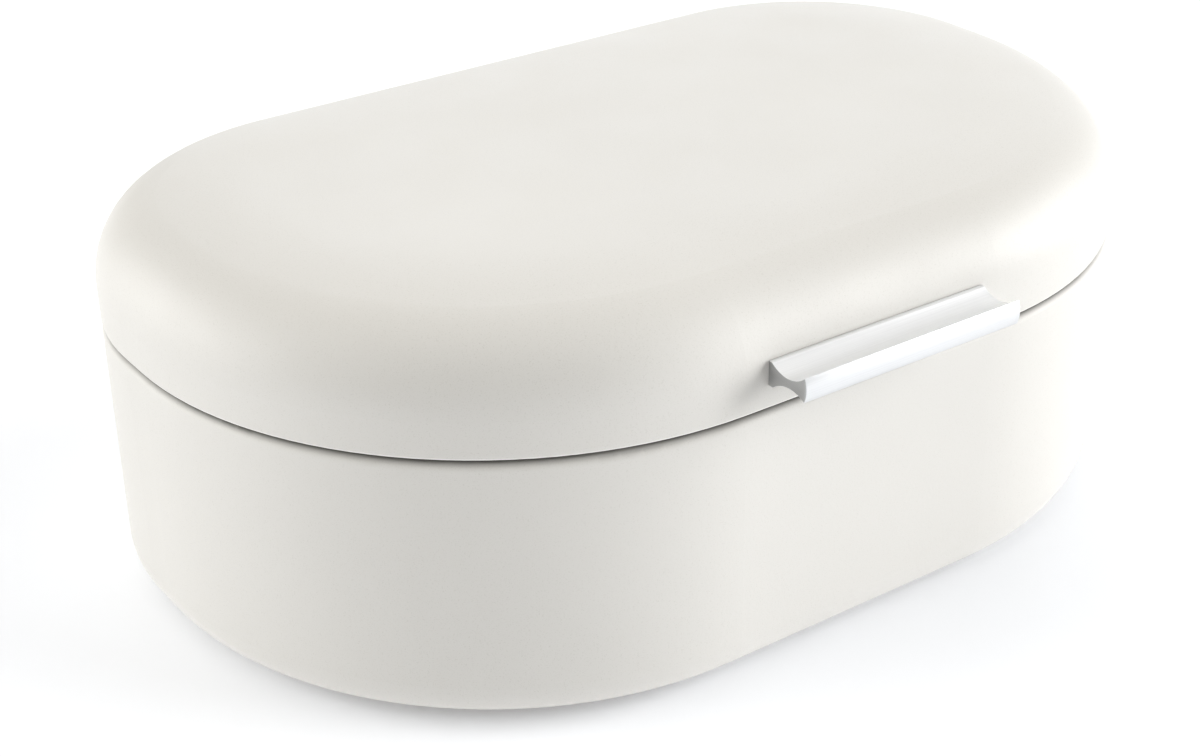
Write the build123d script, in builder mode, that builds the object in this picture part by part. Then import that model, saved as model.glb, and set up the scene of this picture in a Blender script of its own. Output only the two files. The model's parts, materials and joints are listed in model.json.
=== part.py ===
from build123d import *
from math import acos, atan2, cos, degrees, hypot, radians, sin
import os

# Steel bread box with a hinged lid. Millimetres, front towards -Y, +Z up.
# The origin is on the table, under the middle of the whole box with its handle and hinges.
os.makedirs("parts", exist_ok=True)

# Plan: a straight front and back joined by large front corners and smaller rear ones
front_straight = 96.0
side_straight = 12.0
front_corner = 125.0
rear_corner = 83.0

# Sheet steel of the base, the collar and the lid
sheet = 0.8

# Base, upwards from the underside of its sheet
foot_stand = 2.0
base_height = 88.7
bottom_radius = 14.0
base_shoulder = 3.0
ledge_inset = 9.5
panel_inset = 42.0
panel_step = 1.5
panel_ramp = 3.0

# Collar that stands up inside the lid
collar_rise = 8.0
collar_clear = 0.1
collar_bend = 1.2
collar_foot_inset = 3.4
collar_hem = 4.0

# Lid, upwards from its lower edge
seam_gap = 0.7
lid_lip = 7.5
lip_bend = 1.0
lid_side = 11.8
lid_shoulder = 25.0
crown_blend = 170.0
crown_slope = 10.0

# Row of air holes in the back wall
vent_radius = 1.75
vent_pitch = 10.0
vent_count = 7
vent_height = 60.0

# Push-in rubber feet
foot_radius = 7.0
foot_taper = 0.8
foot_bevel = 0.4
foot_stem = 2.4
foot_knob = 3.4
foot_knob_height = 1.3
foot_inset = 26.0
front_foot_angle = 45.0
rear_foot_angle = 65.0

# Push-in rubber pads that the closed lid comes down on
pad_radius = 3.0
pad_stem = 1.2
pad_knob = 1.8
pad_knob_height = 1.0
pad_inset = 5.6
pad_angle = 11.0
pad_rest_gap = 0.1

# Rubber stems pass their holes and hold their knobs with this much room
stem_clear = 0.1
knob_clear = 0.05

# Butt hinges on the back wall
hinge_width = 40.0
hinge_end_margin = 15.0
leaf_thick = 1.2
leaf_corner = 2.5
barrel_wall_gap = 0.3
pin_radius = 1.5
pin_fit = 0.05
barrel_wall = 1.15
knuckle_count = 3
knuckle_gap = 0.3
knuckle_notch = 0.6
lid_leaf_height = 11.0
base_leaf_height = 21.0
pin_head = 2.1
pin_head_thick = 0.6
pin_head_bevel = 0.3
pin_end_play = 0.1

# Heel on the lid's knuckles that stops the open lid
lid_travel = 100.0
heel_reach = 4.9
heel_thick = 1.4
heel_rest_gap = 0.25

# Rivets through the hinge leaves
rivet_radius = 1.5
rivet_fit = 0.05
rivet_head = 2.5
rivet_head_thick = 1.1
rivet_head_bevel = 0.7
rivet_tail = 2.2
rivet_tail_thick = 0.8
rivet_spacing = 24.0
lid_rivet_drop = 3.8
base_rivet_drop = 9.0

# Extruded aluminium handle, its section out from the wall and up or down from its rear top edge
handle_length = 81.0
handle_top = 15.4
handle_rear_height = 7.8
handle_reach = 16.3
handle_front_top = 0.9
handle_front_bottom = -6.9
handle_front_bulge = 0.9
handle_lip = 1.4
handle_foot = 2.0
handle_neck_top = -2.2
handle_neck_bottom = -5.2
handle_neck_reach = 8.0
handle_edge = 0.35

# Screws that hold the handle from inside the lid
screw_radius = 1.5
screw_end_margin = 10.5
screw_drop = 4.1
screw_depth = 4.5
screw_bore_extra = 0.5
screw_fit = 0.05
screw_hole_room = 0.2
screw_head = 2.7
screw_head_thick = 1.9
screw_head_bevel = 0.6
screw_socket = 2.5
screw_socket_depth = 1.1
washer_radius = 3.0
washer_thick = 0.5
washer_seat_gap = 0.15

# Sizes that follow from those above
length = front_straight + 2 * front_corner
depth = front_corner + side_straight + rear_corner
back_straight = length - 2 * rear_corner
barrel_radius = pin_radius + pin_fit + barrel_wall
leaf_face = barrel_radius + barrel_wall_gap - leaf_thick
heel_corner = hypot(heel_reach, heel_thick / 2)
heel_lead = degrees(atan2(heel_thick / 2, heel_reach))
heel_contact = degrees(acos(-(leaf_face - heel_rest_gap) / heel_corner))
heel_angle = lid_travel - heel_contact + heel_lead
hinge_proud = (
    barrel_wall_gap + barrel_radius + heel_reach * cos(radians(heel_angle))
    + heel_thick / 2 * abs(sin(radians(heel_angle)))
)
front_wall = handle_reach - (handle_reach + depth + hinge_proud) / 2
back_wall = front_wall + depth
ledge_top = foot_stand + base_height
lid_edge = ledge_top + seam_gap
crown_inset = lid_shoulder * (1 - sin(radians(crown_slope))) + crown_blend * sin(radians(crown_slope))
crown_top = (
    lid_edge + lid_side + lid_shoulder * cos(radians(crown_slope))
    + crown_blend * (1 - cos(radians(crown_slope)))
)
collar_inset = ledge_inset + collar_bend - sheet + collar_clear
front_corner_centre = Vector(front_straight / 2, front_wall + front_corner)
rear_corner_centre = Vector(back_straight / 2, back_wall - rear_corner)
axis_y = back_wall + barrel_wall_gap + barrel_radius
axis_z = ledge_top + seam_gap / 2
hinge_x = back_straight / 2 - hinge_end_margin - hinge_width / 2
handle_z = lid_edge + handle_top
screw_z = handle_z - screw_drop
screw_spacing = handle_length - 2 * screw_end_margin
sides = {"left": -1, "right": 1}


def plan(inset=0.0):
    """Closed outline of the box seen from above, drawn in by inset."""
    with BuildLine() as line:
        front = Line((0, front_wall + inset), (front_straight / 2, front_wall + inset))
        front_arc = JernArc(front @ 1, (1, 0), front_corner - inset, 90)
        side = Line(front_arc @ 1, (length / 2 - inset, back_wall - rear_corner))
        rear_arc = JernArc(side @ 1, (0, 1), rear_corner - inset, 90)
        Line(rear_arc @ 1, (0, back_wall - inset))
        mirror(about=Plane.YZ)
    return line.line


def in_plan_corner(centre, radius, angle, sign):
    """Point round a corner of the plan; the angle is measured from the front or the side wall."""
    return Vector(sign * (centre.X + radius * sin(radians(angle))), centre.Y - radius * cos(radians(angle)))


def upright(x, y, z):
    """Drawing plane whose local x is a radius and whose local y is a height, for turned pieces."""
    return Plane(origin=(x, y, z), x_dir=(1, 0, 0), z_dir=(0, -1, 0))


def finish(piece, label):
    piece.part.label = label
    export_step(piece.part, f"parts/{label}.step")


foot_places = {}
pad_places = {}
for side_name, sign in sides.items():
    foot_places[f"front_{side_name}"] = in_plan_corner(
        front_corner_centre, front_corner - foot_inset, front_foot_angle, sign
    )
    foot_places[f"rear_{side_name}"] = in_plan_corner(
        rear_corner_centre, rear_corner - foot_inset, 90 + rear_foot_angle, sign
    )
    pad_places[side_name] = in_plan_corner(
        front_corner_centre, front_corner - pad_inset, pad_angle, sign
    )

hinge_places = {name: sign * hinge_x for name, sign in sides.items()}
rivet_offsets = (-rivet_spacing / 2, rivet_spacing / 2)
lid_rivet_z = axis_z + lid_leaf_height - lid_rivet_drop
base_rivet_z = axis_z - base_leaf_height + base_rivet_drop

# Base: one drawn pan with a raised floor panel, a rolled-in shoulder and a narrow ledge
with BuildPart() as base_shell:
    with BuildSketch(Plane.YZ):
        with BuildLine():
            panel_z = foot_stand + panel_step
            ramp_top = front_wall + panel_inset + panel_ramp
            floor = Polyline(
                (ramp_top + panel_ramp, panel_z),
                (ramp_top, panel_z),
                (front_wall + panel_inset, foot_stand),
                (front_wall + bottom_radius, foot_stand),
            )
            bottom_bend = JernArc(floor @ 1, (-1, 0), bottom_radius, -90)
            wall = Line(bottom_bend @ 1, (front_wall, ledge_top - base_shoulder))
            top_bend = JernArc(wall @ 1, (0, 1), base_shoulder, -90)
            Line(top_bend @ 1, (front_wall + ledge_inset, ledge_top))
            offset(amount=sheet, side=Side.RIGHT, kind=Kind.INTERSECTION)
        make_face()
    sweep(path=plan().edges())
    with BuildSketch(Plane.XY.offset(panel_z)):
        make_face(plan(panel_inset + 2 * panel_ramp).edges())
    extrude(amount=sheet)
    with Locations(*[(p.X, p.Y, foot_stand + sheet / 2) for p in foot_places.values()]):
        Cylinder(foot_stem + stem_clear, 2 * sheet, mode=Mode.SUBTRACT)
    with Locations(*[(p.X, p.Y, ledge_top - sheet / 2) for p in pad_places.values()]):
        Cylinder(pad_stem + stem_clear, 2 * sheet, mode=Mode.SUBTRACT)
    with BuildSketch(Plane.XZ.offset(-back_wall)):
        with Locations((0, foot_stand + vent_height)):
            with GridLocations(vent_pitch, vent_pitch, vent_count, 1):
                Circle(vent_radius)
        with Locations(*[(x + dx, base_rivet_z) for x in hinge_places.values() for dx in rivet_offsets]):
            Circle(rivet_radius + rivet_fit)
    extrude(amount=2 * sheet, both=True, mode=Mode.SUBTRACT)
finish(base_shell, "base_shell")

# Collar: an angle ring spot-welded under the ledge, its top edge folded inwards as a hem
with BuildPart() as rim_collar:
    collar_bottom = ledge_top - 2 * sheet
    collar_inner = front_wall + collar_inset + sheet
    with BuildSketch(Plane.YZ):
        with BuildLine():
            foot_end = front_wall + collar_foot_inset
            collar_top = ledge_top + collar_rise
            foot_flat = Line((foot_end, collar_bottom), (collar_inner - collar_bend, collar_bottom))
            foot_bend = JernArc(foot_flat @ 1, (1, 0), collar_bend, 90)
            hem_edge = (collar_inner + sheet, collar_top - collar_hem)
            Polyline(foot_bend @ 1, (collar_inner, collar_top - collar_hem), hem_edge)
            hem_face = Line(hem_edge, (collar_inner + sheet, collar_top - sheet))
            fold = JernArc(hem_face @ 1, (0, 1), sheet, 180)
            upstand = Line(fold @ 1, (collar_inner - sheet, collar_bottom + collar_bend))
            root = JernArc(upstand @ 1, (0, -1), collar_bend - sheet, -90)
            Polyline(root @ 1, (foot_end, collar_bottom + sheet), foot_flat @ 0)
        make_face()
    sweep(path=plan().edges())
    with Locations(*[(p.X, p.Y, collar_bottom) for p in pad_places.values()]):
        Cylinder(pad_stem + stem_clear, 4 * sheet, mode=Mode.SUBTRACT)
finish(rim_collar, "rim_collar")

# Lid: a drawn shell with a turned-in lip, an upright side, a full shoulder and a flat crown
with BuildPart() as lid_shell:
    with BuildSketch(Plane.YZ):
        with BuildLine():
            lip = Line((front_wall + lid_lip, lid_edge), (front_wall + lip_bend, lid_edge))
            lip_arc = JernArc(lip @ 1, (-1, 0), lip_bend, -90)
            lid_wall = Line(lip_arc @ 1, (front_wall, lid_edge + lid_side))
            shoulder_arc = JernArc(lid_wall @ 1, (0, 1), lid_shoulder, crown_slope - 90)
            JernArc(shoulder_arc @ 1, shoulder_arc % 1, crown_blend, -crown_slope)
            offset(amount=sheet, side=Side.RIGHT)
        make_face()
    sweep(path=plan().edges())
    with BuildSketch(Plane.XY.offset(crown_top - sheet)):
        make_face(plan(crown_inset).edges())
    extrude(amount=sheet)
    with BuildSketch(Plane.XZ.offset(-front_wall)):
        with Locations((-screw_spacing / 2, screw_z), (screw_spacing / 2, screw_z)):
            Circle(screw_radius + screw_hole_room)
    extrude(amount=2 * sheet, both=True, mode=Mode.SUBTRACT)
    with BuildSketch(Plane.XZ.offset(-back_wall)):
        with Locations(*[(x + dx, lid_rivet_z) for x in hinge_places.values() for dx in rivet_offsets]):
            Circle(rivet_radius + rivet_fit)
    extrude(amount=2 * sheet, both=True, mode=Mode.SUBTRACT)
finish(lid_shell, "lid_shell")

# Feet: tapered pads whose stems pass the floor and swell into knobs above it
for place, spot in foot_places.items():
    with BuildPart() as foot:
        with BuildSketch(upright(spot.X, spot.Y, foot_stand)):
            with BuildLine():
                knob_base = sheet + knob_clear
                Polyline(
                    (0, -foot_stand),
                    (foot_radius - foot_taper, -foot_stand),
                    (foot_radius, 0),
                    (foot_stem, 0),
                    (foot_stem, knob_base),
                    (foot_knob, knob_base),
                    (foot_stem, knob_base + foot_knob_height),
                    (0, knob_base + foot_knob_height),
                    close=True,
                )
            make_face()
        revolve(axis=Axis((spot.X, spot.Y, 0), (0, 0, 1)))
        chamfer(foot.edges().group_by(Axis.Z)[0], foot_bevel)
    finish(foot, f"foot_{place}")

# Stop pads: flat rubber buttons on the ledge, with knobs below the ledge and the collar's foot
for place, spot in pad_places.items():
    with BuildPart() as pad:
        with BuildSketch(upright(spot.X, spot.Y, ledge_top)):
            with BuildLine():
                knob_top = -2 * sheet - knob_clear
                Polyline(
                    (0, seam_gap - pad_rest_gap),
                    (pad_radius, seam_gap - pad_rest_gap),
                    (pad_radius, 0),
                    (pad_stem, 0),
                    (pad_stem, knob_top),
                    (pad_knob, knob_top),
                    (pad_stem, knob_top - pad_knob_height),
                    (0, knob_top - pad_knob_height),
                    close=True,
                )
            make_face()
        revolve(axis=Axis((spot.X, spot.Y, 0), (0, 0, 1)))
    finish(pad, f"stop_pad_{place}")

# Hinge leaves: plates with rolled knuckles that take turns along the pin
knuckle_pitch = hinge_width / knuckle_count
knuckle_centres = [(i + 0.5) * knuckle_pitch - hinge_width / 2 for i in range(knuckle_count)]


def hinge_leaf(x, up, height, rivet_z, own):
    """Leaf on the back wall; up is 1 for the lid's leaf and -1 for the base's, own its knuckles."""
    width = knuckle_pitch - knuckle_gap
    notch = barrel_radius + knuckle_notch
    with BuildPart() as leaf:
        with BuildSketch(Plane.XZ.offset(-back_wall - leaf_thick)):
            with Locations((x, axis_z + up * (height + notch) / 2)):
                Rectangle(hinge_width - knuckle_gap, height - notch)
        extrude(amount=leaf_thick)
        far_corners = leaf.edges().filter_by(Axis.Y).group_by(Axis.Z)[-1 if up > 0 else 0]
        fillet(far_corners, leaf_corner)
        for centre in own:
            with BuildSketch(Plane.YZ.offset(x + centre - width / 2)):
                with Locations((back_wall + leaf_thick / 2, axis_z + up * (notch + leaf_corner) / 2)):
                    Rectangle(leaf_thick, notch + leaf_corner)
                with Locations((axis_y, axis_z)):
                    Circle(barrel_radius)
                    if up > 0:
                        with Locations(Rotation(0, 0, heel_angle)):
                            Rectangle(heel_reach, heel_thick, align=(Align.MIN, Align.CENTER))
            extrude(amount=width)
        with BuildSketch(Plane.YZ.offset(x - hinge_width / 2)):
            with Locations((axis_y, axis_z)):
                Circle(pin_radius + pin_fit)
        extrude(amount=hinge_width, mode=Mode.SUBTRACT)
        with BuildSketch(Plane.XZ.offset(-back_wall - leaf_thick)):
            with Locations(*[(x + dx, rivet_z) for dx in rivet_offsets]):
                Circle(rivet_radius + rivet_fit)
        extrude(amount=leaf_thick, mode=Mode.SUBTRACT)
    return leaf


def rivets(x, z):
    """Two rivets through one leaf and the wall behind it."""
    with BuildPart() as pair:
        for dx in rivet_offsets:
            with BuildSketch(Plane(origin=(x + dx, back_wall, z), x_dir=(0, 0, 1), z_dir=(1, 0, 0))):
                with BuildLine():
                    Polyline(
                        (0, sheet + rivet_tail_thick),
                        (rivet_tail, sheet + rivet_tail_thick),
                        (rivet_tail, sheet),
                        (rivet_radius, sheet),
                        (rivet_radius, -leaf_thick),
                        (rivet_head, -leaf_thick),
                        (rivet_head, -leaf_thick - rivet_head_thick),
                        (0, -leaf_thick - rivet_head_thick),
                        close=True,
                    )
                make_face()
            revolve(axis=Axis((x + dx, back_wall, z), (0, 1, 0)))
        chamfer(pair.edges().group_by(Axis.Y)[-1], rivet_head_bevel)
    return pair


for place, x in hinge_places.items():
    lid_leaf = hinge_leaf(x, 1, lid_leaf_height, lid_rivet_z, knuckle_centres[1::2])
    base_leaf = hinge_leaf(x, -1, base_leaf_height, base_rivet_z, knuckle_centres[0::2])
    finish(lid_leaf, f"hinge_lid_leaf_{place}")
    finish(base_leaf, f"hinge_base_leaf_{place}")
    finish(rivets(x, lid_rivet_z), f"lid_rivets_{place}")
    finish(rivets(x, base_rivet_z), f"base_rivets_{place}")
    with BuildPart() as pin:
        pin_half = hinge_width / 2 + pin_end_play
        with BuildSketch(Plane(origin=(x, axis_y, axis_z), x_dir=(1, 0, 0), z_dir=(0, 0, 1))):
            Rectangle(2 * pin_half, pin_radius, align=(Align.CENTER, Align.MIN))
            for end in (-1, 1):
                with Locations((end * (pin_half + pin_head_thick / 2), 0)):
                    Rectangle(pin_head_thick, pin_head, align=(Align.CENTER, Align.MIN))
        revolve(axis=Axis((x, axis_y, axis_z), (1, 0, 0)))
        chamfer(pin.edges().group_by(Axis.X)[0] + pin.edges().group_by(Axis.X)[-1], pin_head_bevel)
    finish(pin, f"hinge_pin_{place}")

# Handle: one aluminium extrusion, cut square at both ends
with BuildPart() as handle:
    handle_end = Plane(
        origin=(-handle_length / 2, front_wall, handle_z), x_dir=(0, -1, 0), z_dir=(-1, 0, 0)
    )
    with BuildSketch(handle_end):
        with BuildLine():
            rear = Line((0, -handle_rear_height), (0, 0))
            rear_top = Line(rear @ 1, (handle_lip, 0))
            front_top = (handle_reach - handle_front_bulge, handle_front_top)
            front_bottom = (handle_reach - handle_front_bulge, handle_front_bottom)
            ThreePointArc(rear_top @ 1, (handle_neck_reach, handle_neck_top), front_top)
            ThreePointArc(
                front_top, (handle_reach, (handle_front_top + handle_front_bottom) / 2), front_bottom
            )
            under = Line((handle_foot, -handle_rear_height), rear @ 0)
            ThreePointArc(front_bottom, (handle_neck_reach, handle_neck_bottom), under @ 0)
        make_face()
    extrude(amount=-handle_length)
    fillet(handle.edges().filter_by(Axis.X), handle_edge)
    with BuildSketch(Plane.XZ.offset(-front_wall)):
        with Locations((-screw_spacing / 2, screw_z), (screw_spacing / 2, screw_z)):
            Circle(screw_radius + screw_fit)
    extrude(amount=screw_depth + screw_bore_extra, mode=Mode.SUBTRACT)
finish(handle, "handle")

# Screws and washers inside the lid, seated just clear of the start of its shoulder
for place, sign in sides.items():
    screw_x = sign * screw_spacing / 2
    washer_seat = front_wall + sheet + washer_seat_gap
    head_seat = washer_seat + washer_thick
    with BuildPart() as washer:
        with BuildSketch(Plane.XZ.offset(-washer_seat)):
            with Locations((screw_x, screw_z)):
                Circle(washer_radius)
                Circle(screw_radius + screw_hole_room, mode=Mode.SUBTRACT)
        extrude(amount=-washer_thick)
    finish(washer, f"handle_washer_{place}")
    with BuildPart() as screw:
        with BuildSketch(Plane.XZ.offset(-head_seat)):
            with Locations((screw_x, screw_z)):
                Circle(screw_head)
        extrude(amount=-screw_head_thick)
        chamfer(screw.edges().group_by(Axis.Y)[-1], screw_head_bevel)
        with BuildSketch(Plane.XZ.offset(-head_seat)):
            with Locations((screw_x, screw_z)):
                Circle(screw_radius)
        extrude(amount=head_seat - front_wall + screw_depth)
        with BuildSketch(Plane.XZ.offset(-head_seat - screw_head_thick)):
            with Locations((screw_x, screw_z)):
                RegularPolygon(screw_socket / 2, 6, major_radius=False)
        extrude(amount=screw_socket_depth, mode=Mode.SUBTRACT)
    finish(screw, f"handle_screw_{place}")

print("length", length, "depth", depth, "crown top", round(crown_top, 2))
print("hinge axis y", round(axis_y, 3), "z", round(axis_z, 3), "heel at", round(heel_angle, 2), "degrees")
print("front wall y", round(front_wall, 3), "back wall y", round(back_wall, 3))
for place, spot in foot_places.items():
    print("foot", place, "x", round(spot.X, 2), "y", round(spot.Y, 2))
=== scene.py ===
# %% [markdown]
# # A steel bread box with a hinged lid
# The box is already modelled as solids, with real sizes and a real hinge. Those solids are loaded
# here as a fixed frame, and the large drawn shells keep their own meshes. What is left for Blender
# is what the eye reads at close range: the paint, the metals, the grip, the small turned parts and
# the light. Blender counts in metres and the shapes are drawn in millimetres. The front of the box
# faces -Y and the table lies at Z = 0.

# %% Load the frame
import json
from math import atan2, cos, degrees, pi, radians, sin, sqrt

import bpy
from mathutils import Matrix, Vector


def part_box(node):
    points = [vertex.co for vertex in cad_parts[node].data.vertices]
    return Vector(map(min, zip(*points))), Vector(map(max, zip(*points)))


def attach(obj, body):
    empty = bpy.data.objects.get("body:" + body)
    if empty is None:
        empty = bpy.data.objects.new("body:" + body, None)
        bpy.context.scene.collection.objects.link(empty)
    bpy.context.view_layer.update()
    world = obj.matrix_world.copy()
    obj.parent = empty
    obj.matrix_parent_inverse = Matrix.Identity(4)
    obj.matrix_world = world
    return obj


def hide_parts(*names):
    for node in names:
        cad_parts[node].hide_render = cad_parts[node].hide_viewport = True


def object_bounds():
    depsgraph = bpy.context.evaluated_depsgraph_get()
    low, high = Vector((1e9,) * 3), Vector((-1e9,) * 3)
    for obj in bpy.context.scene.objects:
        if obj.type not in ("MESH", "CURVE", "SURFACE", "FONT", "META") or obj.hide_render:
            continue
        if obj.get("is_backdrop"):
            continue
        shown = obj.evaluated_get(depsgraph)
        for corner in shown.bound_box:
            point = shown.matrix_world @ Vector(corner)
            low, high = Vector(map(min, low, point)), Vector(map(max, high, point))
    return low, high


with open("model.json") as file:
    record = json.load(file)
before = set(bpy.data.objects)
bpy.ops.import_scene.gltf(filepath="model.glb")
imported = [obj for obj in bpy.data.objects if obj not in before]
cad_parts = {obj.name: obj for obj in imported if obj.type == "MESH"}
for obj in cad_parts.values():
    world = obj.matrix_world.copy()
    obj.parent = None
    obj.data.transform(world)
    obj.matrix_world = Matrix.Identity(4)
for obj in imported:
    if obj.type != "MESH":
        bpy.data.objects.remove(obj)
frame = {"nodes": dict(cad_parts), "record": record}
cad_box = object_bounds()
nodes = frame["nodes"]
mm = 0.001
print("CAD box in mm:", [round(side / mm, 1) for side in cad_box[1] - cad_box[0]])

# %% [markdown]
# ## Finishes
# A finish is a node tree. Every one below has the same backbone: a Principled shader, and patterns
# that live on Object coordinates. All the pieces share one frame, so a pattern runs on from one
# piece to the next at the same scale, and it travels with the lid when the lid opens. Image
# textures would need unwrapping and would blur up close. Noise has neither trouble.

# %% Helpers for finishes
def new_finish(name, colour, metallic, roughness):
    """A material with a Principled shader; returns it with its node tree and that shader."""
    finish = bpy.data.materials.new(name)
    finish.use_nodes = True
    tree = finish.node_tree
    shader = tree.nodes["Principled BSDF"]
    shader.inputs["Base Color"].default_value = (*colour, 1.0)
    shader.inputs["Metallic"].default_value = metallic
    shader.inputs["Roughness"].default_value = roughness
    return finish, tree, shader


def feed(tree, socket, value):
    """Gives a socket a value: a number, a colour, or what comes out of another node."""
    if isinstance(value, bpy.types.NodeSocket):
        tree.links.new(value, socket)
    elif isinstance(value, tuple):
        socket.default_value = (*value, 1.0)
    else:
        socket.default_value = value


def noise(tree, scale, stretch=(1.0, 1.0, 1.0), detail=2.0, roughness=0.5):
    """Noise on Object coordinates, in waves per metre, pulled out along an axis by stretch."""
    place = tree.nodes.new("ShaderNodeTexCoord")
    mapping = tree.nodes.new("ShaderNodeMapping")
    mapping.inputs["Scale"].default_value = stretch
    pattern = tree.nodes.new("ShaderNodeTexNoise")
    pattern.inputs["Scale"].default_value = scale
    pattern.inputs["Detail"].default_value = detail
    pattern.inputs["Roughness"].default_value = roughness
    tree.links.new(place.outputs["Object"], mapping.inputs["Vector"])
    tree.links.new(mapping.outputs["Vector"], pattern.inputs["Vector"])
    return pattern.outputs["Fac"]


def ramp(tree, value, low, high, start=0.0, end=1.0):
    """Value, spread from low to high while the pattern goes from start to end."""
    spread = tree.nodes.new("ShaderNodeMapRange")
    limits = {"From Min": start, "From Max": end, "To Min": low, "To Max": high}
    for socket, number in limits.items():
        spread.inputs[socket].default_value = number
    tree.links.new(value, spread.inputs["Value"])
    return spread.outputs["Result"]


def blend(tree, value, first, second):
    """A colour that goes from the first to the second as value goes from 0 to 1."""
    mix = tree.nodes.new("ShaderNodeMix")
    mix.data_type = "RGBA"
    colours = [socket for socket in mix.inputs if socket.type == "RGBA"]
    feed(tree, colours[0], first)
    feed(tree, colours[1], second)
    feed(tree, mix.inputs["Factor"], value)
    return next(socket for socket in mix.outputs if socket.type == "RGBA")


def bump(tree, shader, height, depth, normal=None):
    """Small relief: height from 0 to 1 stands for this depth in metres, on the normal given."""
    relief = tree.nodes.new("ShaderNodeBump")
    relief.inputs["Distance"].default_value = depth
    tree.links.new(height, relief.inputs["Height"])
    if normal:
        tree.links.new(normal, relief.inputs["Normal"])
    tree.links.new(relief.outputs["Normal"], shader.inputs["Normal"])


print("a finish is made of: noise, ramp, blend, bump")

# %% Helpers for patterns that follow the shape
def calc(tree, operation, *values):
    """One step of arithmetic on numbers or on what comes out of other nodes."""
    step = tree.nodes.new("ShaderNodeMath")
    step.operation = operation
    for socket, value in zip(step.inputs, values):
        feed(tree, socket, value)
    return step.outputs["Value"]


def place_in_frame(tree):
    """X, Y and Z of the point that is being shaded, in metres."""
    place = tree.nodes.new("ShaderNodeTexCoord")
    split = tree.nodes.new("ShaderNodeSeparateXYZ")
    tree.links.new(place.outputs["Object"], split.inputs["Vector"])
    return split.outputs["X"], split.outputs["Y"], split.outputs["Z"]


def distance(tree, first, second):
    """The length of a step of first in one direction and second across it."""
    squares = [calc(tree, "POWER", step, 2.0) for step in (first, second)]
    return calc(tree, "SQRT", calc(tree, "ADD", *squares))


def band(tree, value, start, full, last, end):
    """1 while value is between full and last in mm, fading to 0 at start and at end."""
    rise = ramp(tree, value, 0.0, 1.0, start * mm, full * mm)
    fall = ramp(tree, value, 1.0, 0.0, last * mm, end * mm)
    return calc(tree, "MULTIPLY", rise, fall)


def paint_nodes(finish, *names):
    """Gives CAD nodes one finish, in place of what they came with."""
    for name in names:
        mesh = nodes[name].data
        mesh.materials.clear()
        mesh.materials.append(finish)


slots = {part["node"]: part["material_slot"] for part in frame["record"]["subparts"]}
print(len(slots), "nodes in", len(set(slots.values())), "finishes")

# %% [markdown]
# ### Powder coat
# The shells are sprayed with matt off-white powder and baked. Such a coat isn't smooth: it has a
# faint orange peel about a millimetre across, tiny specks where grains melted late, and slow
# clouds where it is a little thicker. The peel is bump, because it is only microns deep. The rest
# is a slight change of colour and gloss.
#
# The lid's rim is painted lighter along its lower edge, a painted highlight where the small bend
# catches the light. The seam below it is painted nearly black, painted shade for the narrow gap
# between lid and base. Both depend on where a point lies: how high, and how far in from the outer
# wall. The plan of the box is made of straights and arcs, so that second distance is worked out
# from the same two pairs of arcs. A line from the nearest arc's centre also tells which way is
# outwards.

# %% Distance in from the outer wall
def vector(tree, x, y, z):
    """Three numbers, or what comes out of three nodes, as one vector."""
    join = tree.nodes.new("ShaderNodeCombineXYZ")
    for socket, value in zip(join.inputs, (x, y, z)):
        feed(tree, socket, value)
    return join.outputs["Vector"]


def calc_vector(tree, operation, *values):
    """One step of arithmetic on what comes out of other nodes as vectors."""
    step = tree.nodes.new("ShaderNodeVectorMath")
    step.operation = operation
    for socket, value in zip(step.inputs, values):
        tree.links.new(value, socket)
    return step.outputs["Vector"]


def choose_vector(tree, value, first, second):
    """The first vector where value is 0, the second where it is 1."""
    mix = tree.nodes.new("ShaderNodeMix")
    mix.data_type = "VECTOR"
    vectors = [socket for socket in mix.inputs
               if socket.type == "VECTOR" and "Factor" not in socket.name]
    tree.links.new(first, vectors[0])
    tree.links.new(second, vectors[1])
    tree.links.new(value, mix.inputs["Factor"])
    return next(socket for socket in mix.outputs if socket.type == "VECTOR")


def wall_in_plan(tree):
    """How far a point lies inside the outer wall, in metres, and which way is outwards there."""
    x, y, _ = place_in_frame(tree)
    insets, spokes = [], []
    for centre_x, centre_y, radius, side in (front_corners, rear_corners):
        across = calc(tree, "SUBTRACT", calc(tree, "ABSOLUTE", x), centre_x * mm)
        across = calc(tree, "MAXIMUM", across, 0.0)
        along = calc(tree, side, calc(tree, "SUBTRACT", y, centre_y * mm), 0.0)
        insets.append(calc(tree, "SUBTRACT", radius * mm, distance(tree, across, along)))
        sideways = calc(tree, "MULTIPLY", across, calc(tree, "SIGN", x))
        spokes.append(vector(tree, sideways, along, 0.0))
    in_rear_half = calc(tree, "GREATER_THAN", y, between_corners * mm)
    spoke = choose_vector(tree, in_rear_half, *spokes)
    return calc(tree, "MINIMUM", *insets), calc_vector(tree, "NORMALIZE", spoke)


# centre in X on both sides, centre in Y, radius, and the operation that keeps Y on its own side
front_corners = (48.0, 19.199, 125.0, "MINIMUM")
rear_corners = (90.0, 31.199, 83.0, "MAXIMUM")
between_corners = 25.0
print("front corners", front_corners[2], "mm, rear corners", rear_corners[2], "mm")

# %% Powder coat
off_white, speck, cloud = (0.612, 0.602, 0.573), (0.547, 0.537, 0.504), (0.637, 0.625, 0.593)
# The rim colour is a painted highlight and the seam colour a painted shade.
rim_highlight_colour, seam_shade_colour = (0.80, 0.79, 0.765), (0.07, 0.066, 0.058)
powder_coat, tree, shader = new_finish("powder_coat", off_white, 0.0, 0.5)
specks = ramp(tree, noise(tree, 2600.0), 0.0, 1.0, 0.30, 0.42)
coat = blend(tree, specks, speck, off_white)
clouds = ramp(tree, noise(tree, 11.0), 0.0, 0.35, 0.35, 0.65)
coat = blend(tree, clouds, coat, cloud)

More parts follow.
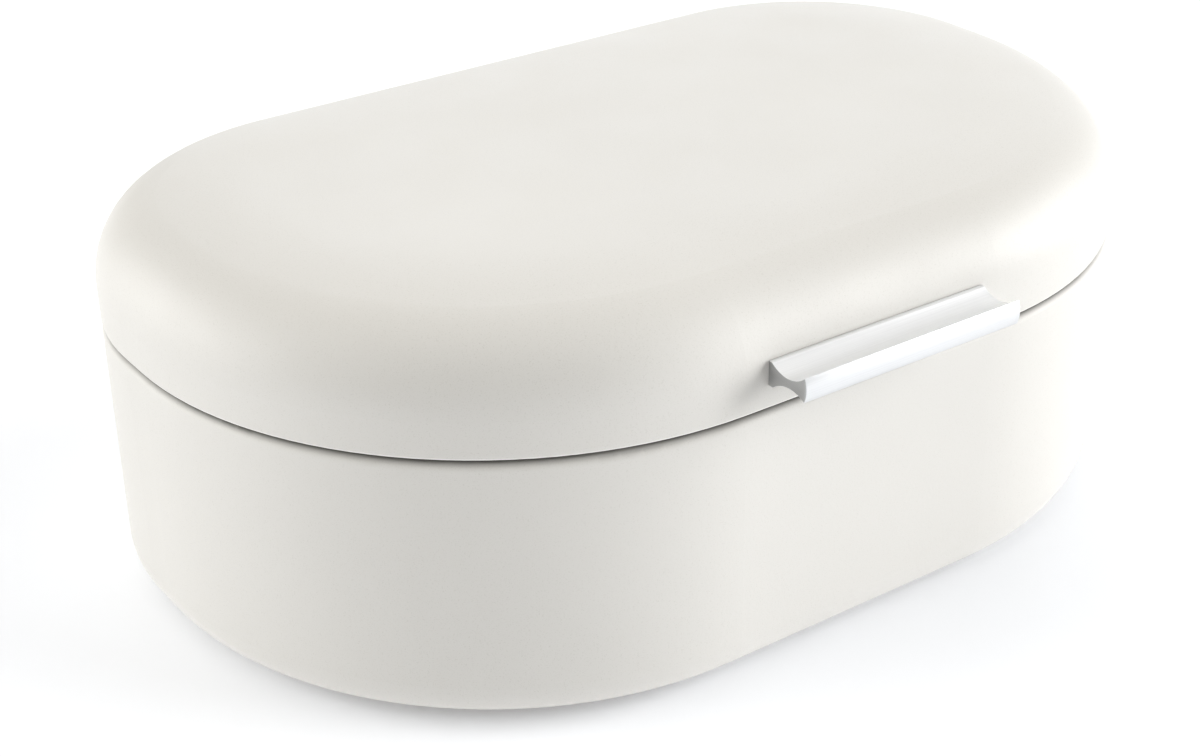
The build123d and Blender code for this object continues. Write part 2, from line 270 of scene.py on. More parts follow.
height = place_in_frame(tree)[2]
inset, outwards = wall_in_plan(tree)
# Painted highlight: a thin band at the lid's lower edge is painted lighter than the coat.
at_rim_height = band(tree, height, 91.2, 91.35, 91.9, 92.3)
painted_rim_highlight = calc(tree, "MULTIPLY", at_rim_height, ramp(tree, inset, 0.9, 0.0, 0.9 * mm, 1.3 * mm))
coat = blend(tree, painted_rim_highlight, coat, rim_highlight_colour)

# Painted shade: the narrow gap under the lid's rim is painted nearly black, a little unevenly, and
# made duller there.
at_seam_height = band(tree, height, 88.0, 89.5, 90.8, 91.0)
at_seam_depth = band(tree, inset, 0.1, 1.8, 2.5, 3.3)
uneven = ramp(tree, noise(tree, 90.0), 0.78, 0.88, 0.3, 0.7)
painted_seam_shade = calc(tree, "MULTIPLY", calc(tree, "MULTIPLY", at_seam_height, at_seam_depth), uneven)
coat = blend(tree, painted_seam_shade, coat, seam_shade_colour)
tree.links.new(coat, shader.inputs["Base Color"])

gloss = ramp(tree, noise(tree, 40.0), 0.46, 0.54, 0.3, 0.7)
duller = calc(tree, "MULTIPLY", painted_seam_shade, 0.3)
tree.links.new(calc(tree, "ADD", gloss, duller), shader.inputs["Roughness"])
paint_nodes(powder_coat, "base_shell", "rim_collar", "lid_shell")
print("powder coat:", len(tree.nodes), "nodes")

# %% [markdown]
# The wall of the base rolls in to the ledge with a radius of only 3 mm. The solid's triangles are
# long and uneven there, and light spread over them shows as teeth. The mesh stays as it is. The
# bend is an exact quarter circle, though, so the paint can work out which way it faces: outwards by
# how far the point still is from the bend's centre, upwards by how high it lies above that centre.
# The orange peel is laid on that normal.

# %% Light on the bend of the base, and orange peel
bend_radius, bend_level, margin = 3.0 * mm, 87.7 * mm, 0.4 * mm
out = calc(tree, "MAXIMUM", calc(tree, "SUBTRACT", bend_radius, inset), 0.0)
up = calc(tree, "SUBTRACT", height, bend_level)
level_part = calc_vector(tree, "MULTIPLY", outwards, vector(tree, out, out, out))
upright_part = vector(tree, 0.0, 0.0, calc(tree, "MAXIMUM", up, 0.0))
bend_normal = calc_vector(tree, "NORMALIZE", calc_vector(tree, "ADD", level_part, upright_part))
on_bend = 1.0
for test in (calc(tree, "GREATER_THAN", height, bend_level - margin),
             calc(tree, "LESS_THAN", height, bend_level + bend_radius + 0.1 * mm),
             calc(tree, "LESS_THAN", inset, bend_radius + margin),
             calc(tree, "GREATER_THAN", distance(tree, out, up), bend_radius - margin)):
    on_bend = calc(tree, "MULTIPLY", test, on_bend)
mesh_normal = tree.nodes.new("ShaderNodeNewGeometry").outputs["Normal"]
normal = choose_vector(tree, on_bend, mesh_normal, bend_normal)
bump(tree, shader, noise(tree, 900.0, detail=1.0), 0.02 * mm, normal)
print("powder coat with its bend:", len(tree.nodes), "nodes")

# %% [markdown]
# ### Aluminium of the grip
# The grip is an extrusion, etched and anodised in its natural colour. The die leaves fine lines
# along its length, so the noise is stretched along X until only lines are left. Its ends are sawn
# across and only deburred, so they are duller and carry the arcs of the saw blade. A Wave texture
# of rings round a centre far below gives such arcs.

# %% Anodised aluminium
grip_aluminium, tree, shader = new_finish("grip_aluminium", (0.79, 0.80, 0.81), 0.8, 0.38)
die_lines = noise(tree, 3000.0, (0.004, 1.0, 1.0))
etched = noise(tree, 6000.0, detail=1.0)
lines = ramp(tree, die_lines, 0.0, 1.0, 0.3, 0.7)
metal = blend(tree, lines, (0.76, 0.77, 0.78), (0.81, 0.82, 0.83))
tree.links.new(metal, shader.inputs["Base Color"])
tree.links.new(ramp(tree, die_lines, 0.33, 0.43, 0.3, 0.7), shader.inputs["Roughness"])
surface = calc(tree, "ADD", die_lines, calc(tree, "MULTIPLY", etched, 0.4))
bump(tree, shader, surface, 0.004 * mm)
print("die lines", round(1 / 3000.0 / mm, 2), "mm apart")

# %% Sawn ends
sawn_end, tree, shader = new_finish("sawn_end", (0.50, 0.505, 0.51), 1.0, 0.42)
place = tree.nodes.new("ShaderNodeTexCoord")
blade_centre = tree.nodes.new("ShaderNodeMapping")
blade_centre.inputs["Location"].default_value = (0.0, 0.06, 0.06)
arcs = tree.nodes.new("ShaderNodeTexWave")
arcs.wave_type = "RINGS"
arcs.rings_direction = "X"
ring_scale = 620.0
arcs.inputs["Scale"].default_value = ring_scale
arcs.inputs["Distortion"].default_value = 1.5
tree.links.new(place.outputs["Object"], blade_centre.inputs["Vector"])
tree.links.new(blade_centre.outputs["Vector"], arcs.inputs["Vector"])
metal = blend(tree, arcs.outputs["Fac"], (0.45, 0.455, 0.46), (0.54, 0.545, 0.55))
tree.links.new(metal, shader.inputs["Base Color"])
tree.links.new(ramp(tree, arcs.outputs["Fac"], 0.38, 0.48), shader.inputs["Roughness"])
bump(tree, shader, arcs.outputs["Fac"], 0.003 * mm)
print("saw arcs", round(2 * pi / (20.0 * ring_scale) / mm, 2), "mm apart")

# %% [markdown]
# ### Steel of the hinges and fasteners
# The leaves are satin stainless strip, rolled along X, so they get a stretched noise too. Their
# barrels turn against each other and are rubbed brighter there, which a mask by the distance from
# the pin brings out. Rivets, screws and washers are zinc plated: a little bluer, with a fine
# cloudy mottle.

# %% Hinge steel
hinge_steel, tree, shader = new_finish("hinge_steel", (0.62, 0.62, 0.61), 1.0, 0.35)
pin_low, pin_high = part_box("hinge_pin_left")
pin_line = (pin_low + pin_high) / 2
_, y, z = place_in_frame(tree)
behind_pin, above_pin = calc(tree, "SUBTRACT", y, pin_line.y), calc(tree, "SUBTRACT", z, pin_line.z)
from_pin = distance(tree, behind_pin, above_pin)
rubbed = ramp(tree, from_pin, 1.0, 0.0, 2.9 * mm, 3.6 * mm)
rolled = noise(tree, 2200.0, (0.03, 1.0, 1.0))
stained = noise(tree, 160.0, detail=3.0)
steel = blend(tree, ramp(tree, rolled, 0.0, 1.0, 0.3, 0.7), (0.56, 0.56, 0.55), (0.66, 0.66, 0.65))
steel = blend(tree, ramp(tree, stained, 0.0, 0.35, 0.55, 0.75), steel, (0.50, 0.49, 0.47))
steel = blend(tree, calc(tree, "MULTIPLY", rubbed, 0.5), steel, (0.72, 0.72, 0.71))
tree.links.new(steel, shader.inputs["Base Color"])
dull, shine = ramp(tree, rolled, 0.30, 0.46, 0.3, 0.7), calc(tree, "MULTIPLY", rubbed, 0.12)
tree.links.new(calc(tree, "SUBTRACT", dull, shine), shader.inputs["Roughness"])
bump(tree, shader, rolled, 0.008 * mm)
print("pin line in mm:", [round(value / mm, 2) for value in pin_line])

# %% Fastener steel
fastener_steel, tree, shader = new_finish("fastener_steel", (0.58, 0.59, 0.60), 1.0, 0.32)
mottle = noise(tree, 700.0, detail=3.0)
zinc = ramp(tree, mottle, 0.0, 1.0, 0.35, 0.65)
zinc = blend(tree, zinc, (0.52, 0.53, 0.545), (0.63, 0.635, 0.64))
tree.links.new(zinc, shader.inputs["Base Color"])
tree.links.new(ramp(tree, mottle, 0.42, 0.26, 0.35, 0.65), shader.inputs["Roughness"])
bump(tree, shader, noise(tree, 2500.0), 0.008 * mm)
print("zinc mottle about", round(1 / 700.0 / mm, 1), "mm across")

# %% [markdown]
# ### Rubber
# The feet are moulded grey rubber and the stop pads a darker brown one. Moulded rubber takes the
# fine grain of its mould, and wears smoother and darker where it is touched. Both are the same
# recipe with other colours, so one function makes them.

# %% Rubber
def rubber(name, dark, light):
    """Moulded rubber with a fine grain and a faint bloom."""
    finish, tree, shader = new_finish(name, light, 0.0, 0.7)
    bloom = ramp(tree, noise(tree, 260.0, detail=3.0), 0.0, 1.0, 0.3, 0.7)
    tree.links.new(blend(tree, bloom, dark, light), shader.inputs["Base Color"])
    tree.links.new(ramp(tree, bloom, 0.58, 0.8), shader.inputs["Roughness"])
    bump(tree, shader, noise(tree, 2800.0), 0.03 * mm)
    return finish


foot_rubber = rubber("foot_rubber", (0.12, 0.117, 0.113), (0.165, 0.16, 0.155))
pad_rubber = rubber("pad_rubber", (0.07, 0.047, 0.036), (0.10, 0.068, 0.051))
finishes = {
    "grip_aluminium": grip_aluminium, "hinge_steel": hinge_steel, "fastener_steel": fastener_steel,
    "foot_rubber": foot_rubber, "pad_rubber": pad_rubber,
}
print("finishes:", ", ".join(finishes))

# %% [markdown]
# ## Drawing and turning
# Most of the small parts are turned, moulded round or formed from round wire. By hand such a part
# is drawn as one half of its section, vertex by vertex, and spun about its axis. That gives exact
# radii and a mesh with even rings, which a stack of primitives doesn't. The section is drawn by
# extruding a single vertex, and the vertex comes from a small plane merged at its centre.

# %% Draw a line of vertices
def alone(piece):
    """Selects this piece and nothing else, because an operator acts on all that is selected."""
    bpy.ops.object.select_all(action="DESELECT")
    piece.select_set(True)
    bpy.context.view_layer.objects.active = piece


def draw(name, points):
    """A line of vertices through the points, in mm; the new piece is left in edit mode."""
    bpy.ops.object.select_all(action="DESELECT")
    bpy.ops.mesh.primitive_plane_add(size=mm, location=(0, 0, 0))
    piece = bpy.context.object
    piece.name = piece.data.name = name
    bpy.ops.object.mode_set(mode="EDIT")
    bpy.ops.mesh.select_mode(type="VERT")
    bpy.ops.mesh.select_all(action="SELECT")
    bpy.ops.mesh.merge(type="CENTER")
    pencil = Vector(points[0]) * mm
    bpy.ops.transform.translate(value=pencil)
    for point in points[1:]:
        step = Vector(point) * mm - pencil
        bpy.ops.mesh.extrude_region_move(TRANSFORM_OT_translate={"value": step})
        pencil += step
    return piece


def arc(centre, radius, start, end, steps=6):
    """Points of an arc, from one angle to another in degrees, in mm."""
    turns = [radians(start + (end - start) * step / steps) for step in range(steps + 1)]
    return [(centre[0] + radius * cos(turn), centre[1] + radius * sin(turn)) for turn in turns]


quarter = arc((0, 0), 1, 0, 90, 2)
print("a quarter arc of radius 1:", [(round(across, 2), round(up, 2)) for across, up in quarter])

# %% Spin a section, and put the piece in its place
def turned(name, section, steps=48):
    """A piece turned about Z, from (radius, height) points in mm that close or end on the axis."""
    piece = draw(name, [(radius, 0.0, height) for radius, height in section])
    bpy.ops.mesh.select_all(action="SELECT")
    bpy.ops.mesh.spin(steps=steps, angle=2 * pi, center=(0, 0, 0), axis=(0, 0, 1))
    bpy.ops.mesh.select_all(action="SELECT")
    bpy.ops.mesh.remove_doubles(threshold=0.002 * mm)
    bpy.ops.mesh.normals_make_consistent(inside=False)
    bpy.ops.object.mode_set(mode="OBJECT")
    return piece


def put(piece, place, turn=(0.0, 0.0, 0.0)):
    """Turns and moves a piece, in degrees and mm, and makes that its mesh's own place."""
    alone(piece)
    piece.rotation_euler = [radians(angle) for angle in turn]
    piece.location = Vector(place) * mm
    bpy.ops.object.transform_apply(location=True, rotation=True, scale=True)


def copy_to(piece, name, shift):
    """A copy of a placed piece with a mesh of its own, moved by shift in mm."""
    alone(piece)
    bpy.ops.object.duplicate(linked=False)
    twin = bpy.context.object
    twin.name = twin.data.name = name
    put(twin, shift)
    return twin


print("spin, then merge the seam and the poles, then turn the faces outwards")

# %% Hand a piece over to the frame
def finish_piece(piece, *replaced):
    """Smooth shading, a finish and the body: the piece stands for the CAD nodes named."""
    alone(piece)
    bpy.ops.object.shade_smooth_by_angle(angle=radians(35.0))
    if not piece.data.materials:
        piece.data.materials.append(finishes[slots[replaced[0]]])
    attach(piece, next(body for body, held in bodies.items() if replaced[0] in held))
    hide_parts(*replaced)
    print(piece.name, len(piece.data.polygons), "faces")


def middle(node):
    """The middle of a CAD node's box, in mm."""
    low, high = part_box(node)
    return (low + high) / 2 / mm


bodies = frame["record"]["behaviour"]["bodies"]
sides = ("left", "right")
print("bodies:", ", ".join(bodies))

# %% [markdown]
# ## Grip
# The grip is one bar with a hollowed top and underside and a rounded front lip, cut square at both
# ends. It could be a box with loops pushed about, but an extrusion is best made as the press makes
# it: draw the section once, fill it, and extrude the face to length. The corners of the section
# are rounded before it is extruded. The cut edges get a finer deburred edge afterwards.

# %% Section of the grip
def through(start, via, end, steps=14):
    """Points of the arc from start to end that passes through via, without the start."""
    (ax, ay), (bx, by), (cx, cy) = start, via, end
    scale = 2 * (ax * (by - cy) + bx * (cy - ay) + cx * (ay - by))
    a2, b2, c2 = ax * ax + ay * ay, bx * bx + by * by, cx * cx + cy * cy
    centre = ((a2 * (by - cy) + b2 * (cy - ay) + c2 * (ay - by)) / scale,
              (a2 * (cx - bx) + b2 * (ax - cx) + c2 * (bx - ax)) / scale)
    first = degrees(atan2(ay - centre[1], ax - centre[0]))
    sweep = (degrees(atan2(cy - centre[1], cx - centre[0])) - first + 180) % 360 - 180
    radius = sqrt((ax - centre[0]) ** 2 + (ay - centre[1]) ** 2)
    return arc(centre, radius, first, first + sweep, steps)[1:]


grip_low, grip_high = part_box("handle")
grip_length = (grip_high.x - grip_low.x) / mm
grip_wall = grip_high.y / mm
rear_height = 7.8
grip_level = grip_low.z / mm + rear_height
foot_rear, top_rear, top_front = (0.0, -rear_height), (0.0, 0.0), (1.4, 0.0)
lip_top, lip_bottom, foot_front = (15.4, 0.9), (15.4, -6.9), (2.0, -rear_height)
section = [foot_rear, top_rear, top_front]
section += through(top_front, (8.0, -2.2), lip_top)
section += through(lip_top, (16.3, -3.0), lip_bottom)
section += through(lip_bottom, (8.0, -5.2), foot_front)
print("grip in mm:", [round(value, 2) for value in (grip_length, grip_wall, grip_level)])

# %% Extrude the grip
grip_end = grip_length / 2
grip = draw("grip", [(-grip_end, grip_wall - out, grip_level + up) for out, up in section])
bpy.ops.mesh.select_all(action="SELECT")
bpy.ops.mesh.edge_face_add()
bpy.ops.mesh.select_all(action="DESELECT")
bpy.ops.object.mode_set(mode="OBJECT")
corners = [foot_rear, top_rear, top_front, lip_top, lip_bottom, foot_front]
same_place = 0.01
for vertex in grip.data.vertices:
    out, up = grip_wall - vertex.co.y / mm, vertex.co.z / mm - grip_level
    misses = [max(abs(out - corner[0]), abs(up - corner[1])) for corner in corners]
    vertex.select = min(misses) < same_place
bpy.ops.object.mode_set(mode="EDIT")
bpy.ops.mesh.bevel(offset=0.3 * mm, segments=4, affect="VERTICES")
bpy.ops.mesh.select_all(action="SELECT")
bpy.ops.mesh.extrude_region_move(TRANSFORM_OT_translate={"value": (grip_length * mm, 0, 0)})
bpy.ops.mesh.select_all(action="SELECT")
bpy.ops.mesh.normals_make_consistent(inside=False)
bpy.ops.object.mode_set(mode="OBJECT")
print("grip:", len(grip.data.polygons), "faces")

# %% Deburr the cut edges and saw the ends
def select_by_place(piece, kind, test):
    """Selects the vertices, edges or faces whose corners all pass the test; enters edit mode."""
    alone(piece)
    bpy.ops.object.mode_set(mode="EDIT")
    bpy.ops.mesh.select_mode(type=kind)
    bpy.ops.mesh.select_all(action="DESELECT")
    bpy.ops.object.mode_set(mode="OBJECT")
    points = [vertex.co for vertex in piece.data.vertices]
    mesh = piece.data
    parts = {"VERT": mesh.vertices, "EDGE": mesh.edges, "FACE": mesh.polygons}[kind]
    for part in parts:
        spots = [part.co] if kind == "VERT" else [points[index] for index in part.vertices]
        part.select = all(test(spot / mm) for spot in spots)
    bpy.ops.object.mode_set(mode="EDIT")


def at_an_end(spot):
    """Whether a spot in mm lies in one of the two cut ends of the grip."""
    return abs(abs(spot.x) - grip_end) < same_place


select_by_place(grip, "EDGE", at_an_end)
bpy.ops.mesh.bevel(offset=0.14 * mm, segments=2, affect="EDGES")
bpy.ops.object.mode_set(mode="OBJECT")
grip.data.materials.append(grip_aluminium)
grip.data.materials.append(sawn_end)
select_by_place(grip, "FACE", at_an_end)
grip.active_material_index = 1
bpy.ops.object.material_slot_assign()
bpy.ops.object.mode_set(mode="OBJECT")
print("sawn faces:", sum(face.material_index == 1 for face in grip.data.polygons))

# %% [markdown]
# The two screws come in from behind, so the rear of the grip has two tapped bores. A bore is the
# one shape here that a Boolean makes best: a cylinder with a coned tip is turned, copied to both
# places and cut away.

# %% Screw bores
def cut(piece, tool):
    """Cuts the tool's shape out of the piece and throws the tool away."""
    alone(piece)
    saw = piece.modifiers.new("cut", "BOOLEAN")
    saw.operation = "DIFFERENCE"
    saw.solver = "EXACT"
    saw.object = tool
    bpy.ops.object.modifier_apply(modifier=saw.name)
    bpy.data.objects.remove(tool)


screw_spots = {side: middle(f"handle_screw_{side}") for side in sides}
for side in sides:
    drill = turned("drill", [(0.0, -0.5), (1.5, -0.5), (1.5, 4.4), (0.0, 5.0)], steps=24)
    put(drill, (screw_spots[side].x, grip_wall, screw_spots[side].z), turn=(90.0, 0.0, 0.0))
    cut(grip, drill)
finish_piece(grip, "handle")

# %% [markdown]
# ## Screws and washers
# The screws are seen from inside the open lid. A rounded cylinder head with a hexagon socket is
# turned first, then the socket is cut with a six-sided prism. The washers are stamped, so one face
# has a rounded edge and the other a sharper one.

# %% Handle screws
screw_low, screw_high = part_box("handle_screw_left")
screw_length = (screw_high.y - screw_low.y) / mm
shank, head, head_height, rounding = 1.45, 2.7, 1.9, 0.5
socket_width, socket_depth, key_length = 2.5, 1.2, 3.0
head_floor, dished = screw_length - head_height, screw_length - 0.12
screw_section = [(0.0, 0.0), (shank - 0.45, 0.0), (shank, 0.45), (shank, head_floor)]
screw_section += [(head - 0.08, head_floor), (head, head_floor + 0.08)]
screw_section += arc((head - rounding, screw_length - rounding), rounding, 0.0, 90.0)
screw_section += [(1.62, screw_length), (1.5, dished), (0.0, dished)]
screw = turned("screw", screw_section)
bpy.ops.object.select_all(action="DESELECT")
bpy.ops.mesh.primitive_cylinder_add(
    vertices=6, radius=socket_width / 2 / cos(radians(30.0)) * mm, depth=key_length * mm,
    location=(0, 0, (screw_length + key_length / 2 - socket_depth) * mm))
key = bpy.context.object
bpy.ops.object.mode_set(mode="EDIT")
bpy.ops.mesh.select_all(action="SELECT")
bpy.ops.mesh.normals_make_consistent(inside=False)
bpy.ops.object.mode_set(mode="OBJECT")
bpy.ops.object.transform_apply(location=True, rotation=True, scale=True)
cut(screw, key)
left, right = (screw_spots[side] for side in sides)
put(screw, (left.x, screw_low.y / mm, left.z), turn=(-90.0, 0.0, 0.0))
screw_right = copy_to(screw, "screw_right", (right.x - left.x, 0.0, 0.0))
screw.name = screw.data.name = "screw_left"
finish_piece(screw, "handle_screw_left")
finish_piece(screw_right, "handle_screw_right")

# %% Washers
hole, rim, thickness = 1.75, 3.0, 0.5
washer_section = [(hole, 0.0), (rim - 0.05, 0.0), (rim, 0.05)]
washer_section += arc((rim - 0.15, thickness - 0.15), 0.15, 0.0, 90.0, 4)
washer_section += arc((hole + 0.1, thickness - 0.1), 0.1, 90.0, 180.0, 3) + [(hole, 0.0)]
washer = turned("washer_left", washer_section, steps=40)
left, right = (middle(f"handle_washer_{side}") for side in sides)
put(washer, (left.x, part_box("handle_washer_left")[0].y / mm, left.z), turn=(-90.0, 0.0, 0.0))
washer_right = copy_to(washer, "washer_right", (right.x - left.x, 0.0, 0.0))
finish_piece(washer, "handle_washer_left")
finish_piece(washer_right, "handle_washer_right")

# %% [markdown]
# ## Rivets
# Four rivets hold each hinge. The outer head is a low dome. Inside, the tail is spread into a flat
# ring with a dimple where the punch struck. One rivet is turned and placed, and seven copies
# follow, moved by the spacing of the holes.

# %% Rivets
head_radius, dome_height, dome_edge = 2.5, 0.85, 0.25
shank_radius, tail_height, head_seat = 1.5, 0.8, 2.8
dome_radius = (head_radius ** 2 + dome_height ** 2) / (2 * dome_height)
dome_reach = degrees(atan2(head_radius, dome_radius - dome_height))
dome_centre = head_seat + dome_edge + dome_height - dome_radius
dome = arc((0.0, dome_centre), dome_radius, 90.0 - dome_reach, 90.0, steps=10)[:-1]
rivet_section = [(0.0, 0.32), (0.55, 0.28), (0.85, 0.05), (1.05, 0.0)]
rivet_section += arc((1.9, 0.3), 0.3, -90.0, 0.0, 4) + arc((2.0, 0.6), 0.2, 0.0, 90.0, 3)
rivet_section += [(shank_radius, tail_height), (shank_radius, head_seat)]
rivet_section += [(head_radius - 0.08, head_seat), (head_radius, head_seat + 0.08)]
rivet_section += dome + [(0.0, dome_centre + dome_radius)]
first = middle("lid_rivets_left")
rivet_low, rivet_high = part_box("lid_rivets_left")
half_spacing = (rivet_high.x - rivet_low.x) / mm / 2 - head_radius
rivet = turned("rivet_lid_left_a", rivet_section)
put(rivet, (first.x - half_spacing, rivet_low.y / mm, first.z), turn=(-90.0, 0.0, 0.0))
for row in ("lid", "base"):
    for side in sides:
        there = middle(f"{row}_rivets_{side}")
        for letter, offset in (("a", -half_spacing), ("b", half_spacing)):
            name = f"rivet_{row}_{side}_{letter}"
            shift = (there.x + offset - first.x + half_spacing, 0.0, there.z - first.z)
            copy = rivet if name == rivet.name else copy_to(rivet, name, shift)
            finish_piece(copy, f"{row}_rivets_{side}")

# %% [markdown]
# ## Hinge pins and leaves
# A hinge pin is wire with both ends headed over. The leaves are strip with rolled barrels, and
# their shape is already right in the solid. Stamped and tumbled strip has no knife edges, though,
# so each leaf is shown by a copy with its edges softened. The copy's loose triangles are merged
# first and joined into flat faces, or the Bevel modifier would find an edge along every triangle.

# %% Hinge pins
pin_half = (pin_high.x - pin_low.x) / mm / 2
wire, upset, upset_height, rounding = 1.5, 2.1, 0.6, 0.35
upset_seat = pin_half - upset_height
pin_side = [(wire, upset_seat), (upset - 0.08, upset_seat), (upset, upset_seat + 0.1)]
pin_side += arc((upset - rounding, pin_half - rounding), rounding, 0.0, 70.0, 4)
pin_side += [(1.2, pin_half - 0.02), (0.6, pin_half), (0.0, pin_half)]
pin = turned("pin_left", [(radius, -level) for radius, level in reversed(pin_side)] + pin_side)
left, right = (middle(f"hinge_pin_{side}") for side in sides)
put(pin, left, turn=(0.0, 90.0, 0.0))
pin_right = copy_to(pin, "pin_right", (right.x - left.x, 0.0, 0.0))
finish_piece(pin, "hinge_pin_left")
finish_piece(pin_right, "hinge_pin_right")

# %% Hinge leaves
def softened(node, name, width):
    """A copy of a CAD node with a rounded edge of this width in mm."""
    leaf = bpy.data.objects.new(name, nodes[node].data.copy())
    bpy.context.scene.collection.objects.link(leaf)
    leaf.data.name = name
    leaf.data.materials.clear()
    alone(leaf)
    bpy.ops.object.mode_set(mode="EDIT")
    bpy.ops.mesh.select_all(action="SELECT")
    bpy.ops.mesh.remove_doubles(threshold=0.002 * mm)
    bpy.ops.mesh.dissolve_limited(angle_limit=radians(1.0))
    bpy.ops.mesh.normals_make_consistent(inside=False)
    bpy.ops.object.mode_set(mode="OBJECT")
    soft = leaf.modifiers.new("soft_edges", "BEVEL")
    soft.width = width * mm
    soft.segments = 2
    soft.limit_method = "ANGLE"
    soft.angle_limit = radians(40.0)
    bpy.ops.object.modifier_apply(modifier=soft.name)
    return leaf


soft_edge = 0.16
for side in sides:
    for kind in ("base", "lid"):
        node = f"hinge_{kind}_leaf_{side}"
        finish_piece(softened(node, f"leaf_{kind}_{side}", soft_edge), node)

# %% [markdown]
# ## Rubber feet and stop pads
# A foot is pushed into a hole in the floor of the base: outside a puck with a moulded ring that
# touches the table, inside a barbed knob. A stop pad is the same idea in small, a button on the
# ledge that keeps the painted lid off the painted base. Both are turned from their sections and
# copied.

# %% Feet
puck_top, neck, barb_seat, knob_top = 2.0, 2.4, 2.85, 4.15
foot_section = [(0.0, 0.7), (3.2, 0.7), (3.7, 0.6), (4.15, 0.08), (4.35, 0.0)]
foot_section += arc((5.75, 0.45), 0.45, -90.0, -8.0, 5) + arc((6.68, 1.7), 0.3, -8.0, 90.0, 5)
foot_section += [(neck, puck_top), (neck, barb_seat), (3.25, barb_seat)]
foot_section += arc((3.25, barb_seat + 0.15), 0.15, -90.0, 40.0, 4) + [(2.55, knob_top - 0.2)]
foot_section += arc((2.25, knob_top - 0.2), 0.2, 30.0, 90.0, 3)
foot_section += [(1.2, knob_top), (1.0, knob_top - 0.2), (0.0, knob_top - 0.25)]
foot = turned("foot_front_left_rubber", foot_section)
here = middle("foot_front_left")
put(foot, (here.x, here.y, 0.0))
for end in ("front", "rear"):
    for side in sides:
        there = middle(f"foot_{end}_{side}")
        name, shift = f"foot_{end}_{side}_rubber", (there.x - here.x, there.y - here.y, 0.0)
        copy = foot if name == foot.name else copy_to(foot, name, shift)
        finish_piece(copy, f"foot_{end}_{side}")

# %% Stop pads
button, button_seat, button_top, stem = 3.0, 2.65, 3.25, 1.2
pad_section = [(0.0, 0.0), (0.95, 0.0), (1.3, 0.15), (1.8, 0.85), (1.8, 1.0)]
pad_section += [(stem, 1.0), (stem, button_seat), (button - 0.12, button_seat)]
pad_section += [(button, button_seat + 0.1)]
pad_section += arc((button - 0.25, button_top - 0.25), 0.25, 0.0, 90.0, 5)
pad_section += [(0.7, button_top), (0.5, button_top - 0.08), (0.0, button_top - 0.1)]
pad = turned("pad_left", pad_section)
left, right = (middle(f"stop_pad_{side}") for side in sides)
put(pad, (left.x, left.y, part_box("stop_pad_left")[0].z / mm))
pad_right = copy_to(pad, "pad_right", (right.x - left.x, 0.0, 0.0))
finish_piece(pad, "stop_pad_left")
finish_piece(pad_right, "stop_pad_right")

# %% [markdown]
# ## Table
# The box stands on a plain white sheet that fills the picture. The sheet is slightly cool, which
# takes back the warm light that the box throws on it, so its shadow is grey as in the photograph.

# %% Floor
bpy.ops.object.select_all(action="DESELECT")
bpy.ops.mesh.primitive_plane_add(size=12.0, location=(0, 0, 0))
floor = bpy.context.object
floor.name = "floor"
floor_paper, tree, shader = new_finish("floor_paper", (0.91, 0.93, 0.965), 0.0, 0.9)
shader.inputs["Specular IOR Level"].default_value = 0.0
shader.inputs["Emission Color"].default_value = (1.0, 1.0, 1.0, 1.0)
shader.inputs["Emission Strength"].default_value = 0.03
floor.data.materials.append(floor_paper)
floor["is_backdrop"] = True
print("floor:", floor.dimensions.x, "m")

# %% [markdown]
# ## Light
# White paint on a white table is drawn by its soft shadows alone, so the light is placed by what it
# has to draw. Two strong soft lights stand low at the sides and leave the front that faces the
# camera darker, and a weaker one higher on the left evens out that side. Two behind, a low one and
# a wide high one, brighten the crown and roll off over the lid's shoulder.
#
# The table glows as well, as a light table does. That light comes up through the sheet and lifts
# the base, so the sheet is taken out of its way by light linking. A card held behind the grip
# fills its hollow and nothing else, and light linking does that too.
#
# Each light is a sun with a wide angle. It lights the whole table evenly, has no edge of its own,
# and gives the shadow of a large soft box.

# %% Lights
camera_turn = radians(-35.311)
white = (1.0, 1.0, 1.0)


def soft_light(name, turn, height, spread, strength, colour=white):
    """A soft light, turn degrees to the right of the camera and height degrees above the table."""
    lamp = bpy.data.lights.new(name, "SUN")
    lamp.energy = strength
    lamp.angle = radians(spread)
    lamp.color = colour
    light = bpy.data.objects.new(name, lamp)
    bpy.context.scene.collection.objects.link(light)
    heading = camera_turn - pi / 2 + radians(turn)
    level = cos(radians(height))
    towards = Vector((cos(heading) * level, sin(heading) * level, sin(radians(height))))
    light.rotation_euler = towards.to_track_quat("Z", "Y").to_euler()
    return light


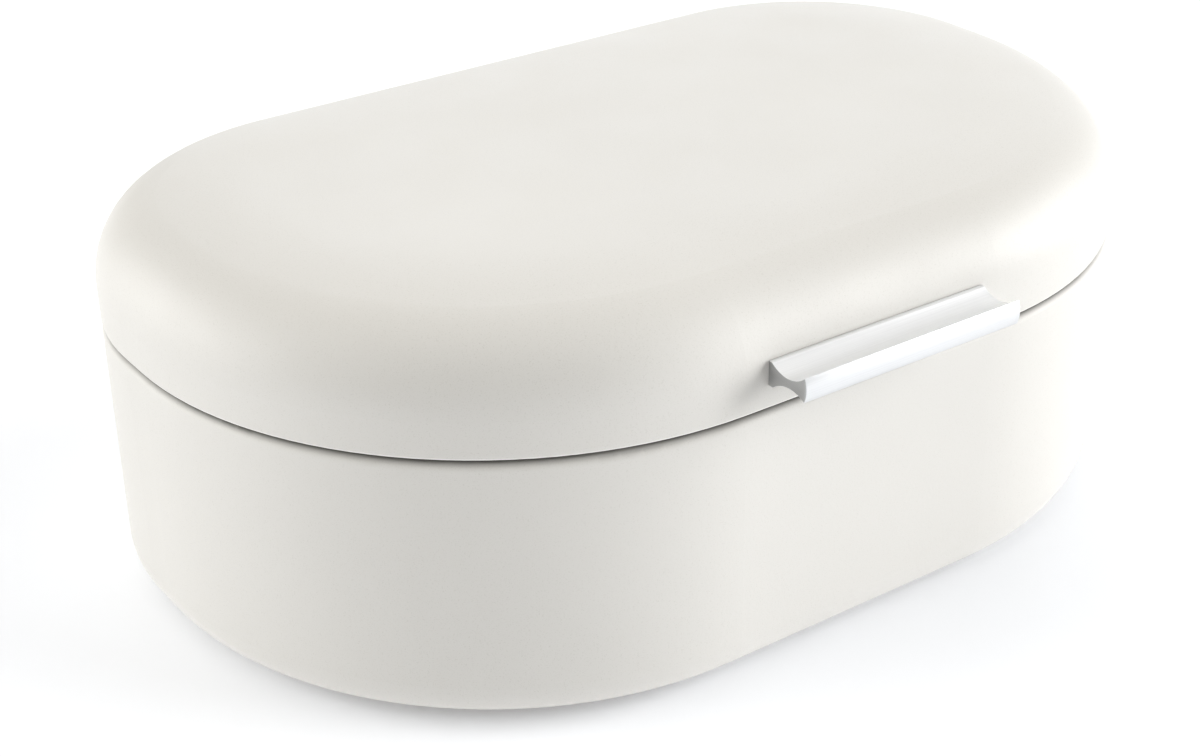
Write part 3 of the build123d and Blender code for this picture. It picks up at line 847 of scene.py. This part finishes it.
soft_light("light_left", -92.0, 10.0, 50.0, 2.56)
soft_light("light_left_high", -75.0, 50.0, 90.0, 1.16, (1.0, 0.97, 0.90))
soft_light("light_right", 92.0, 10.0, 50.0, 5.0)
soft_light("light_back_low", 175.0, 10.0, 50.0, 0.87, (0.87, 0.92, 1.0))
soft_light("light_back_high", 180.0, 75.0, 120.0, 1.5, (1.0, 0.98, 0.96))
light_card = soft_light("light_card", 180.0, 75.0, 120.0, 0.75)
light_table = soft_light("light_table", 0.0, -90.0, 110.0, 0.85, (1.0, 0.95, 0.94))


def light_group(name, state, *things):
    """A light linking collection: INCLUDE means these objects alone, EXCLUDE all the others."""
    group = bpy.data.collections.new(name)
    for thing in things:
        group.objects.link(thing)
    for member in group.collection_objects:
        member.light_linking.link_state = state
    return group


from_below, from_card = light_table.light_linking, light_card.light_linking
from_below.blocker_collection = light_group("passes_floor", "EXCLUDE", floor)
from_below.receiver_collection = light_group("not_lit_from_below", "EXCLUDE", floor, grip)
from_card.receiver_collection = light_group("lit_by_card", "INCLUDE", grip)

# %% [markdown]
# The lights do all the lighting. The world behind the sheet is white too, but for the camera alone,
# so that a low view has no dark horizon. The Standard view transform keeps white paper white.

# %% World and colour
world = bpy.data.worlds.new("studio")
bpy.context.scene.world = world
world.use_nodes = True
background = world.node_tree.nodes["Background"]
background.inputs["Color"].default_value = (*white, 1.0)
background.inputs["Strength"].default_value = 1.0
for ray in ("diffuse", "glossy", "transmission", "scatter"):
    setattr(world.cycles_visibility, ray, False)
bpy.context.scene.view_settings.view_transform = "Standard"
print("view transform:", bpy.context.scene.view_settings.view_transform)

# %% [markdown]
# ## Camera
# The camera looks down on the left front corner from about half a metre away. Its place, turn and
# lens were fitted to the outline of the box, so the picture has the photograph's perspective.

# %% Camera
camera_data = bpy.data.cameras.new("camera")
camera_data.lens = 63.72
camera_data.clip_start = 0.05
camera_data.clip_end = 50.0
camera = bpy.data.objects.new("camera", camera_data)
bpy.context.scene.collection.objects.link(camera)
camera_place, camera_tilt, camera_roll = (-0.37648, -0.50595, 0.3799), 61.906, 0.808
camera.location = camera_place
camera.rotation_euler = (radians(camera_tilt), radians(camera_roll), camera_turn)
bpy.context.scene.camera = camera
print("lens", camera_data.lens, "mm")

# %% Sizes
visual_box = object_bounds()
growth = (visual_box[1] - visual_box[0]) - (cad_box[1] - cad_box[0])
print("grown by, in mm:", [round(side / mm, 3) for side in growth])
